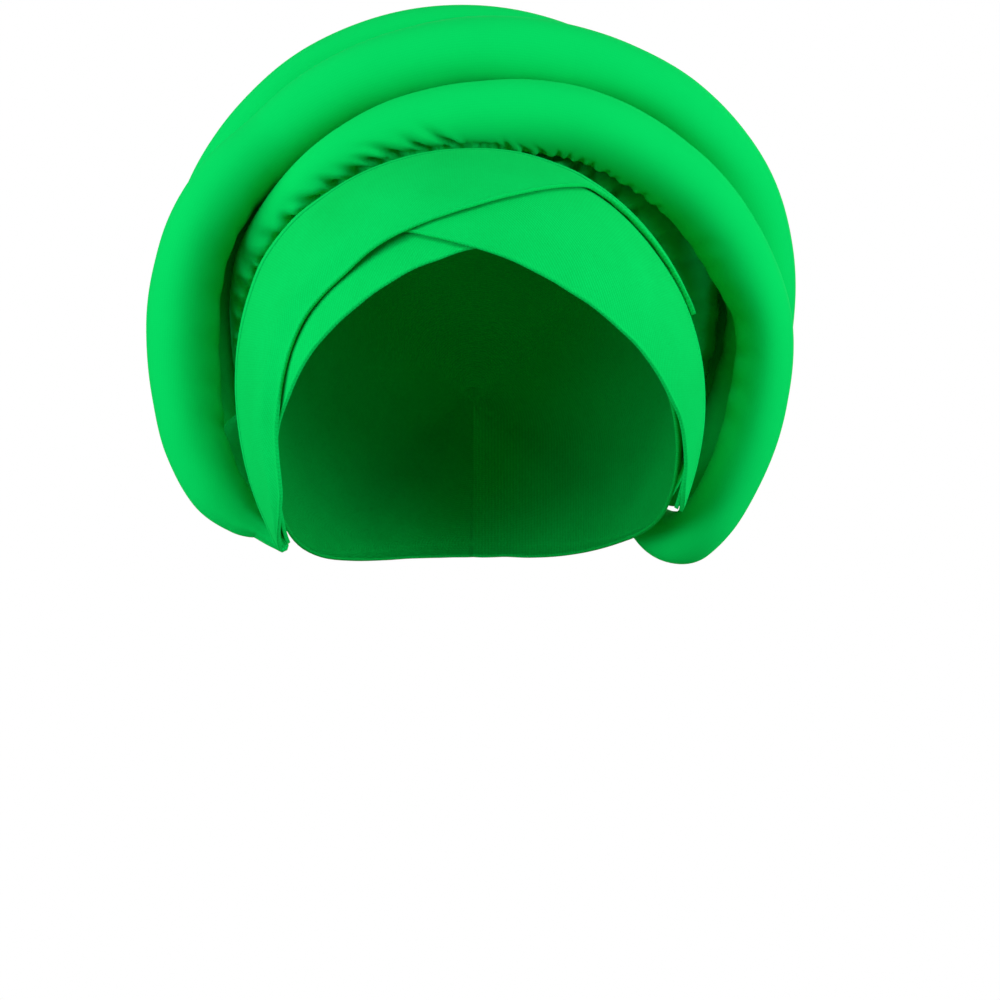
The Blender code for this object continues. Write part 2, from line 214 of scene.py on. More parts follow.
def clothMaterial(name, cloth):
    # dull woven polyester: no shine of its own, fine threads and a trace of nap
    material = bpy.data.materials.new(name)
    material.use_nodes = True
    tree = material.node_tree
    tree.nodes.clear()
    out = addNode(tree, "ShaderNodeOutputMaterial")
    place = addNode(tree, "ShaderNodeUVMap", uv_map="weave").outputs["UV"]
    space = addNode(tree, "ShaderNodeTexCoord").outputs["Object"]

    waves = []  # ribs and threads, each 0 in the furrow and 1 on top
    for pitch, degrees in ((cloth["ribPitch"], cloth["ribAngle"]),
                           (cloth["threadPitch"], cloth["threadAngle"])):
        turned = addNode(tree, "ShaderNodeMapping", {
            "Vector": place, "Rotation": (0, 0, math.radians(degrees)),
            "Scale": (1 / pitch, 1 / pitch, 1)}).outputs[0]
        along = addNode(tree, "ShaderNodeSeparateXYZ", {0: turned}).outputs["X"]
        wave = addNode(tree, "ShaderNodeMath", {0: along, 1: 2 * math.pi}, operation="MULTIPLY")
        wave = addNode(tree, "ShaderNodeMath", {0: wave.outputs[0]}, operation="SINE")
        waves.append(addNode(tree, "ShaderNodeMath", {0: wave.outputs[0], 1: 0.5, 2: 0.5},
                             operation="MULTIPLY_ADD").outputs[0])
    # uneven yarn, uneven dye and faint creases, each by the size in mm of one blotch
    slub, blotch, crumple = (
        addNode(tree, "ShaderNodeTexNoise", {
            "Vector": space, "Scale": 1000 / size, "Detail": detail, "Roughness": 0.55,
        }).outputs["Fac"] for size, detail in (
            (cloth["slubSize"], 3.0), (cloth["blotchSize"], 2.0), (cloth["crumpleSize"], 4.0)))
    mixes = {"ribs": waves[0], "threads": waves[1], "slub": slub, "blotch": blotch}
    for result, base, added, share in (
        ("weave", "ribs", "threads", cloth["threadShare"]), ("height", "weave", "slub", 0.35),
        ("yarn", "weave", "slub", 0.45), ("tone", "yarn", "blotch", 0.35),
    ):
        mixes[result] = addNode(tree, "ShaderNodeMix", {
            "Factor": share, "A": mixes[base], "B": mixes[added]}).outputs["Result"]
    ramp = addNode(tree, "ShaderNodeMapRange", {
        "Value": mixes["tone"], "From Min": 0.25, "From Max": 0.75, "To Min": 0.0, "To Max": 1.0})
    colour = addNode(tree, "ShaderNodeMix", {"Factor": ramp.outputs[0]}, data_type="RGBA")
    colour.inputs["A"].default_value = linearColour(cloth["furrow"])
    colour.inputs["B"].default_value = linearColour(cloth["crest"])
    # painted shade: the furrow of the stitch line is painted darker, for the shade that falls in it
    paintedFurrowShade = addNode(tree, "ShaderNodeAttribute", attribute_name="paintedFurrowShade").outputs["Fac"]
    withFurrowShade = addNode(tree, "ShaderNodeMix", {"Factor": paintedFurrowShade}, data_type="RGBA")
    tree.links.new(colour.outputs["Result"], withFurrowShade.inputs["A"])
    withFurrowShade.inputs["B"].default_value = linearColour(cloth["furrowShadeColour"])
    coarse = addNode(tree, "ShaderNodeBump", {
        "Height": crumple, "Strength": cloth["crumple"], "Distance": 0.001})
    fine = addNode(tree, "ShaderNodeBump", {
        "Height": mixes["height"], "Strength": cloth["relief"],
        "Distance": 0.00025, "Normal": coarse.outputs[0]})
    shader = addNode(tree, "ShaderNodeBsdfPrincipled", {
        "Base Color": withFurrowShade.outputs["Result"], "Roughness": cloth["roughness"],
        "Normal": fine.outputs[0], "Specular IOR Level": cloth["shine"],
        "Sheen Weight": cloth["nap"], "Sheen Roughness": 0.5})
    shader.inputs["Sheen Tint"].default_value = linearColour(cloth["crest"])
    tree.links.new(shader.outputs[0], out.inputs[0])
    return material


twillCloth = {  # polyester twill: the bands lie flat, so its diagonal ribs show
    # the darkest colour here is painted shade, for the furrow of the over band's stitch line
    "crest": "#00CC64", "furrow": "#00B854", "furrowShadeColour": "#006B2E", "ribPitch": 0.95, "ribAngle": 52,
    "threadPitch": 0.8, "threadAngle": 0, "threadShare": 0.3, "slubSize": 1.1, "blotchSize": 28,
    "crumpleSize": 9, "crumple": 0.04, "relief": 0.4, "roughness": 0.95, "shine": 0.05, "nap": 0.0,
}
stretchedCloth = dict(  # the same cloth drawn tight over stuffing: fine threads across the roll
    twillCloth, crest="#00CA61", furrow="#00C45E", ribPitch=0.7, ribAngle=0, threadPitch=1.1,
    threadAngle=90, threadShare=0.6, crumpleSize=12, crumple=0.05, relief=0.03)
gatheredCloth = dict(  # the same again, creased all over by the gathers
    stretchedCloth, crumpleSize=7, crumple=0.14)
liningCloth = dict(  # knitted jersey, dyed to match: wales 1.2 mm apart
    twillCloth, crest="#00B850", furrow="#009A3C", ribPitch=1.2, ribAngle=0, threadPitch=0.9,
    threadAngle=90, threadShare=0.5, relief=0.7)

bandMaterial = clothMaterial("green_polyester_twill", twillCloth)
rollMaterial = clothMaterial("green_stretched_twill", stretchedCloth)
bagMaterial = clothMaterial("green_gathered_twill", gatheredCloth)
liningMaterial = clothMaterial("green_knitted_lining", liningCloth)
print("materials made")

# The three bands. Their tables say, turn by turn round the axis from front to back (90 is up, 0 the
# wearer's left), how many degrees ahead of the crown the front and rear edges lie, and how many mm
# off the head. Settle and flare bring the front edge down and the rear edge up, in mm.

bandShape = {
    "stations": 320,  # along the band
    "columns": 24,  # across its flat middle
    "foldLip": 0.25,  # the folded front edge is this much thicker
    "foldWidth": 1.3,
    "hemBead": 0.4,  # the hem along the rear edge stands this much proud
    "hemWidth": 6.0,
    "hemFurrow": 0.8,  # depth of the stitch line in front of the hem
    "furrowPlace": 6.6,
    "furrowWidth": 0.5,
    "furrowShadeStrength": 0.6,  # how much painted shade darkens that line, and how broad
    "furrowShadeWidth": 0.9,
    "sway": 0.22,  # slow unevenness of the laid cloth
    "turnedEnd": 0.3,  # the ends are turned under, which thickens them this much
    "turnedLength": 7.0,
    "meanRadius": 90.0,  # from the head's centre to the cloth
    "alongDegree": 1.6,  # mm along a band for a degree of turn
    "edgeRound": 0.65,  # the edges are rounded over this breadth
    "swayPitch": (55.0, 40.0),  # along the band and across it
    "settleShare": 0.2,  # of the width, over which the front edge comes down
}
# places of the fine columns next to each edge of a band, in mm from it
edgeSteps = np.array([
    0, 0.04, 0.15, 0.3, 0.5, 0.75, 1.05, 1.4, 1.8, 2.3, 3, 3.8, 4.5, 5, 5.3, 5.6, 5.9, 6.2, 6.5,
    6.8, 7.1, 7.4, 7.7, 8.1, 8.6, 9.2])

underBand = {
    "turn": (219, 213, 207, 201, 195, 189, 182, 175, 167, 156, 140, 122, 107, 90, 70, 48, 30, 12,
             -4, -16, -25, -29),
    "front": (8.5, 21, 26.5, 31, 34.5, 38.3, 43.5, 47.3, 50.9, 55.3, 59.2, 60.9, 61, 59.1, 56, 53,
              49, 41, 30, 19, 11, 5.5),
    "rear": (6, 6, 6, 6, 6, 6, 6, 6, 6, 6, 6, 6, 6, 6, 6, 6, 6, 6, 6, 5, 4.5, 4),
    "lift": (2, 2, 2, 2, 2, 2, 2, 2, 2, 2, 2, 2, 2, 2, 2, 2, 2.1, 2.9, 3.5, 3.6, 3.6, 3.6),
}
crossBand = {
    "turn": (-29, -25, -19, -14, -8, -1, 8, 16, 23, 33, 48, 63, 78, 90, 103, 113, 125, 140, 160,
             180, 196, 207, 213, 219),
    "front": (6, 17.6, 23.6, 28.3, 33.3, 40.1, 46.4, 50.8, 54.2, 57.4, 60.6, 61.6, 60.9, 59.3,
              55.5, 50.4, 45, 42, 39, 35, 31, 25, 18, 7.5),
    "rear": (4, 4.5, 5, 6, 6, 6, 6, 6, 6, 6, 6, 6, 6, 6, 6, 6, 6, 6, 6, 6, 6, 6, 6, 6),
    "lift": (5.6, 5.6, 5.6, 5.6, 5.6, 5.4, 5.1, 4.8, 4.5, 4.2, 4, 4, 4, 4, 4, 4, 4, 4, 4, 4, 4,
             4, 4, 4),
}
overBand = {
    "turn": (219, 213, 207, 199, 191, 184, 175, 166, 156, 146, 136, 126, 113, 102, 91, 79, 70,
             64, 60, 54, 44, 32, 20),
    "front": (10, 27, 33.8, 37, 39, 41.2, 43.1, 44.6, 46.2, 48.6, 50.6, 51.4, 51.7, 50.9, 48.5,
              42.6, 34, 24, 14, 11.5, 11, 10, 7.6),
    "rear": (6, 6, 6, 6, 6, 6, 6, 6, 6, 6, 6, 6, 6, 6, 6, 6, 6, 6, 6, 6, 6, 6, 6),
    "lift": (6, 6, 6, 6, 6, 6, 6, 6, 6, 6, 6, 6, 6, 6, 6, 6, 6, 6, 6, 6, 6.1, 6.3, 6.7),
    "settle": (0, 1.2, 2, 2, 2, 2, 2, 2, 2, 2, 1.7, 0.5, 0, 0, 0, 0, 0, 0, 0, 0, 0, 0, 0),
    "flare": (0, 0, 0, 0, 0, 0.2, 0.8, 1.8, 3, 4.2, 3.9, 2.4, 1.2, 0.4, 0, 0.5, 0.6, 0.9, 0.9, 0.8,
              0.5, 0.2, 0),
}


def makeBand(name, table, node, seed, beadHeight):
    s = bandShape
    first, last = table["turn"][0], table["turn"][-1]
    turn = np.linspace(first, last, s["stations"] + 1)[:, None]
    front, rear, lift = (readCurve(table, "turn", c, turn) for c in ("front", "rear", "lift"))
    perDegree = math.radians(s["meanRadius"])  # mm of cloth for a degree about the centre
    width = (front - rear) * perDegree
    # near its ends a band is narrower than two edges, so the edges are squeezed together
    squeeze = np.minimum(1.0, width / 2.1 / edgeSteps[-1])
    flat = np.linspace(0, 1, s["columns"] + 2)[1:-1]
    edge = edgeSteps * squeeze
    middle = edge[:, -1:] + (width - 2 * edge[:, -1:]) * flat
    fromFront = np.concatenate([edge, middle, width - edge[:, ::-1]], 1)
    fromRear = width - fromFront
    fromEdge = np.minimum(fromFront, fromRear) / s["edgeRound"] / squeeze
    rounding = np.sqrt(1 - (1 - np.clip(fromEdge, 0, 1)) ** 2)
    halfHem = s["hemWidth"] / 2 * squeeze
    furrow = s["furrowPlace"] * squeeze
    rise = s["foldLip"] * bump(fromFront, 0.8, s["foldWidth"] * 0.6)
    rise = rise + beadHeight * bump(fromRear, halfHem, halfHem)
    rise = rise - s["hemFurrow"] * bump(fromRear, furrow, s["furrowWidth"])
    along = np.broadcast_to((turn - first) * s["alongDegree"], fromFront.shape)
    inner = ease(fromFront / 8) * ease(fromRear / 9)
    waves = softNoise(seed, 5, (along, s["swayPitch"][0]), (fromFront, s["swayPitch"][1]))
    sway = s["sway"] * waves * inner
    fromEnd = np.minimum(turn - min(first, last), max(first, last) - turn) * s["alongDegree"]
    turned = s["turnedEnd"] * ease(1.4 - fromEnd / s["turnedLength"])
    outerPad = lift + clothThickness * (0.5 + 0.5 * rounding) + rise * squeeze + sway
    outerPad = outerPad + turned * rounding * 0.5
    if "settle" in table:  # the front edge lies on the band below, the rear edge stands off
        settle = readCurve(table, "turn", "settle", turn)
        settle = settle * (1 - ease(fromFront / (s["settleShare"] * width)))
        flare = readCurve(table, "turn", "flare", turn) * (fromFront / width) ** 2
        lift = lift - settle + flare
        outerPad = outerPad - settle + flare
    innerPad = lift + clothThickness * (0.5 - 0.5 * rounding) - turned * rounding * 0.5
    forward = front - fromFront / perDegree
    outer = onHead(turn, forward, outerPad)
    under = onHead(turn, forward, innerPad)[:, ::-1][:, 1:-1]
    grid = np.concatenate([outer, under], 1)
    rows, around = grid.shape[:2]
    u = arcLengths(outer, 0)[:, outer.shape[1] // 3][:, None]
    v = np.concatenate([fromFront, fromFront[:, ::-1][:, 1:-1]], 1)
    weave = np.stack(np.broadcast_arrays(u, v), -1).reshape(-1, 2)
    faces = gridFaces(rows, around, closedColumns=True)
    points = grid.reshape(-1, 3)
    ends = [(0, grid[0].mean(0)), (rows - 1, grid[-1].mean(0))]
    points, weave, faces = closeEnds(points, weave, faces, around, ends)
    piece = makePiece(name, points, faces, weave, node)
    piece.data.materials.append(bandMaterial)
    if "settle" in table:  # the over band's hem is the one that shows its stitch line, with painted shade along its furrow
        # painted shade: a dark stripe along the stitch furrow, none on the underside
        furrowShadeMask = s["furrowShadeStrength"] * bump(fromRear, furrow, s["furrowShadeWidth"] * squeeze)
        furrowShadeValues = np.concatenate([furrowShadeMask, 0 * under[..., 0]], 1).ravel()
        mark = piece.data.attributes.new("paintedFurrowShade", "FLOAT", "POINT")
        mark.data.foreach_set("value", np.append(furrowShadeValues, [0.0, 0.0]).astype(np.float32))
    length = float(u[-1, 0])
    area = float(np.trapz(width[:, 0], u[:, 0]))
    return piece, length, float(width.max()), area


hiddenBead = 0.2  # the hems of the two lower bands are nearly flat
for name, table, node, seed, bead in (
    ("underBand", underBand, "under_band", 11, hiddenBead),
    ("crossBand", crossBand, "cross_band", 12, hiddenBead),
    ("overBand", overBand, "over_band", 13, bandShape["hemBead"]),
):
    piece, length, broad, area = makeBand(name, table, node, seed, bead)
    print(f"{name}: {length:.0f} mm long, {broad:.0f} mm broad, {area / 100:.0f} square cm")

# The three padded rolls. Their tables say in mm, turn by turn, how far the roll's middle lies from
# the axis and behind the origin; across and deep are half its thickness outward and backward.

frontRoll = {
    "turn": (195, 189, 180, 165, 150, 135, 120, 105, 90, 75, 60, 45, 30, 15, 0, -15, -29, -38,
             -43, -46, -47.4, -48),
    "reach": (84, 83.1, 81.2, 80.4, 77.3, 74.8, 73.5, 73.2, 74.3, 77.6, 82.5, 87, 92.6, 98.6,
              104.8, 106.4, 108.2, 109.7, 109.3, 104.5, 97, 87),
    "back": (28, 30, 32, 29, 20.5, 14, 11, 10.2, 10, 10.5, 12, 14.5, 17.5, 21, 25, 29, 34,
             40, 48, 59, 69, 75),
    "across": (2.5, 4.2, 6.4, 8.8, 10.3, 11.7, 12.3, 13.1, 13.2, 13.3, 13.1, 13, 12.7, 12.1, 10.6,
               10.8, 10.2, 9.8, 9.8, 9.2, 8, 4),
    "deep": (3, 4.6, 7, 11, 13.5, 14.2, 14.6, 15, 15, 15, 15, 15, 14.6, 14, 14, 14, 13.6, 12, 11,
             10, 8.6, 4),
}
outerRoll = {
    "turn": (230, 227.5, 224, 219, 212, 203, 193, 180, 165, 150, 135, 120, 105, 90, 75, 60, 45,
             30, 15, 0, -15, -28, -37, -41),
    "reach": (103.6, 103.4, 103.4, 106, 108.2, 107.3, 104.9, 103.6, 103.4, 101.4, 96.8, 96.4,
              96.8, 98.3, 100.4, 103.8, 107.3, 108.8, 107.4, 104.5, 101, 98, 95, 91.4),
    "back": (9.5, 9, 9, 9.5, 11, 13, 14, 14.5, 16.4, 22.8, 29.6, 28.2, 27.2, 27.2, 29.6, 33.3,
             37, 43, 50, 55.6, 58, 58, 58, 61),
    "across": (1.8, 3.2, 5, 8, 10.4, 11.6, 12.7, 13.2, 12.8, 12.9, 13.4, 14, 14.2, 14.2, 14.2,
               14.2, 14.2, 14, 13.4, 12.6, 12, 10.5, 8, 4),
    "deep": (2, 3.5, 5.5, 8, 11, 13.5, 15, 15.6, 15.8, 15.4, 14.6, 15, 15.6, 15.8, 15.8, 15.8,
             15.8, 15.4, 15, 15, 14, 12, 8, 3.5),
}
backRoll = {
    "turn": (207, 196, 180, 165, 150, 135, 120, 105, 90, 75, 60, 45, 30, 15, 0, -15, -26),
    "reach": (92, 95.5, 98.5, 100.8, 103.2, 105.4, 106.6, 106.4, 105.6, 104.6, 103.4, 102.3,
              100.9, 99.5, 97, 94, 88.5),
    "back": (46, 44, 45, 48, 53.6, 58.2, 57.6, 57.6, 58.2, 61, 65, 67.2, 71.8, 78, 83, 83, 79),
    "across": (5, 10, 13.5, 14.6, 14.6, 14.2, 14, 14, 14, 13.8, 13.6, 13.2, 12.6, 12, 11, 8, 3.5),
    "deep": (5, 10, 13.4, 14.4, 14.6, 14.6, 14.6, 14.6, 14.6, 14.6, 14.6, 14, 13.6, 13, 12, 9,
             3.5),
}

rollShape = {
    "sections": 520,  # along a roll
    "sides": 80,  # round it
    "trim": 0.985,  # of the CAD section, so that neighbours stay clear
    "lumps": 0.35,  # unevenness of the stuffing
    "lumpPitch": (60.0, 150.0),  # mm along the roll and degrees round it
    "endFolds": 7,  # folds that draw each end together
    "endDepth": 0.16,  # of the roll's half thickness
    "endLength": 15.0,
    "endTwist": 0.05,
    "endCap": 0.45,
}
foldShape = {  # what all the folds of the rolls share; angles are degrees round the roll
    "lead": 14.0,  # mm over which a row of folds begins and ends
    "grooveAngle": -2.0,  # where the cloth is sewn down, seen from the rim
    "grooveWidth": 13.0,
    "waver": 0.6,  # mm by which a fold wanders
    "waverPitch": 0.45,
    "hidden": (35.0, 30.0),  # a fold starts this far behind the rim, and grows over this much
    "puff": 0.25,  # the cloth next to a valley bulges by this share of its depth
    "puffPlace": 2.1,  # in breadths of the valley
    "rimWidth": 16.0,
}


def foldPlaces(group):  # uneven places of folds along a roll, in mm
    draw = np.random.default_rng(group["seed"])
    places = list(group.get("places", ()))
    at = group["from"]
    while "places" not in group and at < group["to"]:
        places.append(at)
        at += group["pitch"] * draw.uniform(0.7, 1.35)
    return [(place, group["pitch"] * draw.uniform(*group["width"]), draw.uniform(0.6, 1.0),
             draw.uniform(0.6, 1.35), draw.uniform(-0.25, 0.25)) for place in places]


def rollFolds(along, angle, size, folds):
    # valleys that leave the gathered edge at an angle and fade out over the roll's face
    f = foldShape
    depth = np.zeros(angle.shape)
    for group in folds:
        edge = np.interp(along, group["edgeAt"], group["edge"])
        away = (angle - edge + 180) % 360 - 180  # degrees round the roll from that edge
        onFace = np.maximum(away, 0)
        reachOut = np.radians(onFace) * size
        ends = ease((along - group["from"]) / f["lead"] + 1)
        ends = ends * ease((group["to"] - along) / f["lead"] + 1)
        depth += group["groove"] * bump(away, f["grooveAngle"], f["grooveWidth"]) * ends
        for place, width, strength, run, lean in foldPlaces(group):
            slant = np.interp(place, group["slantAt"], group["slant"]) + lean
            waver = f["waver"] * np.sin(reachOut * f["waverPitch"] + place)
            shift = along - place - slant * reachOut - waver
            spread = width * (1 + group["spread"] * reachOut)
            fade = np.exp(-((onFace / (group["run"] * run)) ** 2))
            fade = fade * ease((away + f["hidden"][0]) / f["hidden"][1])
            valley = bump(shift, 0, spread)
            valley = valley - f["puff"] * bump(abs(shift), f["puffPlace"] * spread, spread)
            deeper = 1 + group["rim"] * bump(away, 0, f["rimWidth"])  # most where it is sewn down
            depth += group["depth"] * strength * valley * fade * ends * deeper
    return depth


def makeRoll(name, table, node, folds, seed):
    s = rollShape
    rows = len(table["turn"])
    indexed = dict(table, row=tuple(range(rows)))
    station = np.linspace(0, 1, s["sections"] + 1) * (rows - 1)
    turn, reach, back, across, deep = (
        readCurve(indexed, "row", c, station) for c in ("turn", "reach", "back", "across", "deep"))
    a = np.radians(turn)
    outward = np.stack([np.cos(a), 0 * a, np.sin(a)], -1)
    middle = outward * reach[:, None] + np.stack([0 * a, back, 0 * a + ringCentreZ], -1)
    ahead = np.gradient(middle, axis=0)
    ahead /= np.linalg.norm(ahead, axis=1)[:, None]
    out = outward - ahead * (outward * ahead).sum(1)[:, None]
    out /= np.linalg.norm(out, axis=1)[:, None]
    rearward = np.cross(ahead, out)
    rearward *= np.sign(rearward[:, 1])[:, None]
    length = arcLengths(middle, 0)
    degrees = np.arange(s["sides"]) * 360 / s["sides"]
    along, angle = np.meshgrid(length, degrees, indexing="ij")
    size = ((across + deep) / 2)[:, None]
    radians = np.radians(angle)
    total = length[-1]
    nearEnd = np.exp(-(np.minimum(along, total - along) / s["endLength"]) ** 2)
    drawn = 0.5 - 0.5 * np.cos(radians * s["endFolds"] + along * s["endTwist"])
    scale = s["trim"] * (1 - s["endDepth"] * nearEnd * drawn)
    lumps = softNoise(seed, 6, (along, s["lumpPitch"][0]), (angle, s["lumpPitch"][1]))
    offset = s["lumps"] * lumps - rollFolds(along, angle, size, folds)
    wide = across[:, None] * scale + offset
    tall = deep[:, None] * scale + offset
    grid = (middle[:, None] + out[:, None] * (np.cos(radians) * wide)[..., None]
            + rearward[:, None] * (np.sin(radians) * tall)[..., None])
    faces = gridFaces(len(length), s["sides"], closedColumns=True)
    points = grid.reshape(-1, 3)
    weave = np.stack([along, radians * size], -1).reshape(-1, 2)
    ends = []
    for end, inward in ((0, 1), (len(length) - 1, -1)):
        step = middle[end] - middle[end + inward]
        beyond = step / np.linalg.norm(step) * across[end] * s["endCap"]
        ends.append((end, middle[end] + beyond))
    points, weave, faces = closeEnds(points, weave, faces, s["sides"], ends)
    piece = makePiece(name, points, faces, weave, node)
    piece.data.materials.append(rollMaterial)
    print(f"{name}: {total:.0f} mm long")


rimAngle = {  # where the bands' rim meets the front roll: degrees round it, by mm along it
    "edgeAt": (7, 12, 22, 33, 44, 61, 77, 97, 121, 150, 160, 175),
    "edge": (325, 306, 292, 274, 263, 258, 246, 236, 224, 206, 198, 192),
}
# Each row of folds: where it starts and stops along the roll, mm between two folds, their depth,
# how far they run in degrees, their breadth as a share of the pitch, and their slant.
frontFolds = [
    {  # the puffs on the wearer's right, at the places that the photo shows
        **rimAngle, "from": 16, "to": 150, "pitch": 8.0, "depth": 3.4, "run": 36, "seed": 5,
        "places": (22, 30, 37, 45, 52, 63, 72, 83, 93, 101, 110, 118, 129, 140),
        "width": (0.16, 0.24), "slantAt": (20, 60, 100, 132), "slant": (0.5, 0, -0.7, -1.3),
        "spread": 0.06, "rim": 0.5, "groove": 2.6,
    },
    {  # finer gathers between them
        **rimAngle, "from": 16, "to": 165, "pitch": 4.2, "depth": 1.2, "run": 16, "seed": 3,
        "width": (0.16, 0.24), "slantAt": (20, 132), "slant": (0.2, -0.6),
        "spread": 0.04, "rim": 0.4, "groove": 0,
    },
    {  # small teeth towards the wearer's left
        **rimAngle, "from": 158, "to": 226, "pitch": 5.6, "depth": 1.2, "run": 14, "seed": 4,
        "width": (0.16, 0.3), "slantAt": (150, 230), "slant": (-0.4, 0.1),
        "spread": 0.03, "rim": 0.6, "groove": 0,
    },
    {  # and hardly any further down
        "edgeAt": (0,), "edge": (200,), "from": 234, "to": 330, "pitch": 12, "depth": 0.7,
        "run": 40, "width": (0.2, 0.3), "slantAt": (220, 330), "slant": (0.2, 0.2),
        "spread": 0.05, "rim": 0, "groove": 0, "seed": 6,
    },
]
outerFolds = [
    {  # where the cloth is drawn in on the inner side
        "edgeAt": (0,), "edge": (190,), "from": 20, "to": 470, "pitch": 15, "depth": 0.55,
        "run": 60, "width": (0.2, 0.34), "slantAt": (0, 500), "slant": (0.3, -0.3),
        "spread": 0.05, "rim": 0, "groove": 0, "seed": 8,
    },
]
makeRoll("frontRoll", frontRoll, "front_roll", frontFolds, 21)
makeRoll("outerRoll", outerRoll, "outer_roll", outerFolds, 22)
makeRoll("backRoll", backRoll, "back_roll", [], 23)

# The gathered bag.

bagShape = {
    "columns": 432,  # round the bag
    "rings": 90,  # from its hem to the dome's middle
    "depth": 114.0,  # how far back the dome reaches
    "pad": 4.3,  # off the head
    "clearance": 2.4,  # off the rolls
    "domeRings": 5,
    "napeHalfTurn": 24.0,  # degrees each side of the nape where no roll lies on it
    "napeBlend": 32.0,
    "smoothings": 6,
    "pleats": 44,
    "pleatSeed": 31,
    "pleatWidth": (0.16, 0.24),  # of the space between two
    "pleatDepth": 3.0,
    "pleatSpread": 0.9,  # how much wider they are on the dome
    "domeFolds": 3.0,
    "notchDepth": 11.0,  # of the pleats seen between the bands and the rolls
    "notchLean": 1.5,
    "calmTurn": 209.0,  # hardly pleated here, where the rolls press on it
    "calmWidth": 14.0,
    "calm": 0.85,
    "middleHole": 0.6,  # the gathers meet this far from the dome's middle
}
# The rows below are read by turn, in degrees seen from the front: 90 is up and 0 the wearer's left.
bagHem = {
    "turn": (-90, -76, -62, -50, -38, -26, -14, 90, 194, 206, 218, 230, 242, 256, 270),
    "back": (80, 76, 62, 42, 18, 2, -3, -3, -3, 2, 14, 36, 60, 76, 80),
}
bagHug = {  # how far it lies close on the cap before it rises to the rolls
    "turn": (-90, -52, -46, -38, -26, -14, 0, 10, 30, 50, 70, 85, 105, 140, 165, 180, 190, 200,
             210, 218, 226, 235, 270),
    "hug": (0, 0, 10, 24, 33, 32, 30, 26, 22, 18, 11, 4, 1, 3, 6, 12, 19, 20, 17, 13, 6, 0, 0),
}
bagBulge = {  # where it is pushed out to fill the gap between the bands and the rolls
    "turn": (-90, -40, -20, 0, 90, 165, 180, 192, 200, 208, 216, 224, 235, 270),
    "swell": (0, 0, 1.5, 1, 0.5, 0.5, 4, 7, 12, 20, 17, 6, 0, 0),
}


def bagProfile(turn):  # from the hem to the dome, where the rolls are wound round it
    s = bagShape
    hem = float(readCurve(bagHem, "turn", "back", turn))
    start = float(headReach(turn, hem, s["pad"]))
    hug = float(readCurve(bagHug, "turn", "hug", turn))
    foot = hem + hug
    found, near = [], []
    for table in (frontRoll, outerRoll, backRoll):
        columns = ("reach", "back", "across", "deep")
        found.append([float(readCurve(table, "turn", c, turn)) for c in columns])
        if min(table["turn"]) - 5 < turn < max(table["turn"]) + 5:
            near.append(found[-1])
    front, outer, rear = found
    last = rear[1] + rear[3]
    innerRear = rear[0] - rear[2] - s["clearance"]
    middle = max(outer[1], front[1] + front[3] + s["clearance"] + 1.5)
    backs = [foot + (front[1] - 0.5 * front[3] - foot) * max(0.0, 1 - hug / 3), front[1],
             front[1] + 0.6 * front[3], front[1] + 0.94 * front[3], middle,
             0.5 * (middle + rear[1]), rear[1], rear[1] + 0.55 * rear[3], last]
    for i in range(1, len(backs) - 1):
        backs[i] = max(backs[i], backs[i - 1] + 0.8)
    spans = sorted([(hem, start), (foot + 0.01, float(headReach(turn, foot, s["pad"])))]
                   + [(r[1], r[0] - r[2] - s["clearance"]) for r in near if r[1] > foot]
                   + [(last, innerRear)])
    swell = float(readCurve(bagBulge, "turn", "swell", turn))
    profile = [(start, hem)]
    for i, back in enumerate(backs):
        reach = float(np.interp(back, [r[0] for r in spans], [r[1] for r in spans]))
        reach += swell * (0.0, 0.7, 1.0)[min(i, 2)]
        for centre, place, across, deep in near:
            off = (back - place) / (deep + s["clearance"])
            if abs(off) < 1:
                reach = min(reach, centre - (across + s["clearance"]) * math.sqrt(1 - off * off))
        profile.append((max(reach, float(headReach(turn, back, s["pad"]))), back))
    reach, back = profile[-1]
    for i in range(1, s["domeRings"] + 1):
        a = math.pi / 2 * i / s["domeRings"]
        profile.append((reach * math.cos(a), back + (s["depth"] - back) * math.sin(a)))
    return np.array(profile)


def napeProfile(turn, rings):  # from the hem to the dome at the nape, below the rolls
    s = bagShape
    hem = float(readCurve(bagHem, "turn", "back", turn))
    start = float(headReach(turn, hem, s["pad"]))
    a = math.pi / 2 * np.arange(rings + 1) / rings
    back = hem + (s["depth"] - hem) * np.sin(a)
    reach = np.maximum(start * np.cos(a), headReach(turn, back, s["pad"]))
    return np.stack([reach, back], -1)


def throughPoints(values, at):  # a smooth curve through evenly numbered rows
    rows = len(values)
    padded = np.concatenate([[2 * values[0] - values[1]], values, [2 * values[-1] - values[-2]]])
    i = np.clip(at.astype(int), 0, rows - 2)
    t = (at - i)[:, None]
    p0, p1, p2, p3 = (padded[i + k] for k in range(4))
    bend = 2 * p0 - 5 * p1 + 4 * p2 - p3 + t * (3 * (p1 - p2) + p3 - p0)
    return p1 + 0.5 * t * (p2 - p0 + t * bend)


